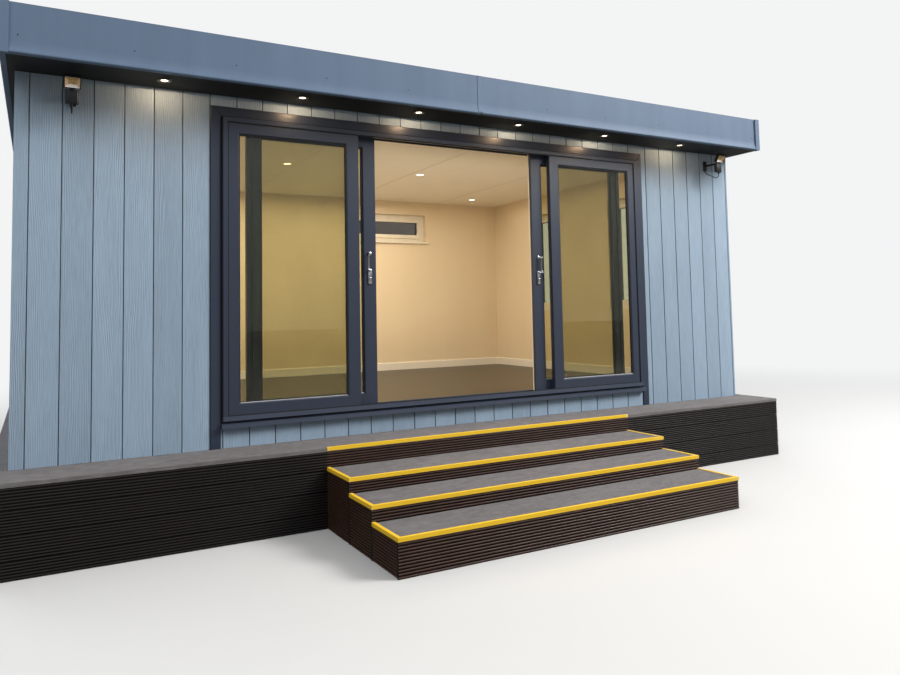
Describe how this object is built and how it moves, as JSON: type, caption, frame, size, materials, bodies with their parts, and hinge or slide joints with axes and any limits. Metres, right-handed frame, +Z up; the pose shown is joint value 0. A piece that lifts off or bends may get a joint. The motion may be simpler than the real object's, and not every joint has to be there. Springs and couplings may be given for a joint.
{
  "type": "garden office pod",
  "caption": "Flat-roofed garden office with board cladding, a sliding glass door in four panels, a ribbed deck and wide steps, built hollow with a floor and windows.",
  "frame": {"origin": "on the ground, below the middle of the front wall's cladding", "axes": "+X along the front towards the right seen from outside, +Y from the front wall into the room, +Z up"},
  "size_m": [6.214, 5.648, 3.117],
  "materials": {
    "cladding": "painted timber cladding, blue-grey, satin",
    "inner_lining": "painted wall and ceiling boards, matt cream",
    "fascia": "slate blue-grey, satin",
    "soffit": "near-black board",
    "membrane": "roof membrane, matt",
    "door_frame": "anthracite powder coat, satin",
    "door_glass": "clear double glazing",
    "window_frame": "white",
    "window_glass": "clear double glazing",
    "handle": "polished",
    "roller": "machined",
    "deck_board": "ribbed composite, grey-brown",
    "skirt_board": "ribbed composite, dark brown",
    "nosing": "yellow, matt grit",
    "base": "treated timber",
    "floor": "grey-brown laminate",
    "lamp": "satin rim with pale lens",
    "floodlight": "dark grey housing"
  },
  "bodies": {
    "pod": {"back_fascia": "fascia", "back_skirt": "skirt_board", "back_wall": "cladding", "back_window_board": "window_frame", "back_window_frame": "window_frame", "back_window_glass": "window_glass", "base_frame": "base", "ceiling_lamps": "lamp", "ceiling_panel": "inner_lining", "deck_edge_boards": "deck_board", "deck_nosing": "nosing", "deck_riser": "skirt_board", "door_cill": "door_frame", "door_head": "door_frame", "door_jambs": "door_frame", "door_trim_left": "door_frame", "door_trim_right": "door_frame", "door_trim_top": "door_frame", "fascia_covers": "fascia", "fixed_glass": "door_glass", "fixed_sashes": "door_frame", "floodlights": "floodlight", "floor_cassette": "base", "front_deck": "deck_board", "front_fascia": "fascia", "front_skirts": "skirt_board", "front_soffit": "soffit", "front_wall_header": "cladding", "front_wall_left": "cladding", "front_wall_right": "cladding", "front_wall_sill": "cladding", "left_wall": "cladding", "right_wall": "cladding", "right_window_frames": "window_frame", "right_window_glass": "window_glass", "roof_membrane": "membrane", "roof_panel": "base", "room_floor": "floor", "side_fascias": "fascia", "side_skirts": "skirt_board", "soffit_lamps": "lamp", "soffit_strips": "soffit", "step_carcass": "skirt_board", "step_nosings": "nosing", "step_treads": "deck_board", "support_posts": "base"},
    "left_leaf": {"left_leaf_sash": "door_frame", "left_leaf_glass": "door_glass", "left_leaf_handle": "handle", "left_leaf_rollers": "roller"},
    "right_leaf": {"right_leaf_sash": "door_frame", "right_leaf_glass": "door_glass", "right_leaf_handle": "handle", "right_leaf_rollers": "roller"}
  },
  "joints": [
    {"name": "left_leaf_slide", "type": "slide", "parent": "pod", "child": "left_leaf", "axis": [1, 0, 0], "range_m": [0, 0.7]},
    {"name": "right_leaf_slide", "type": "slide", "parent": "pod", "child": "right_leaf", "axis": [-1, 0, 0], "range_m": [0, 0.7]}
  ]
}
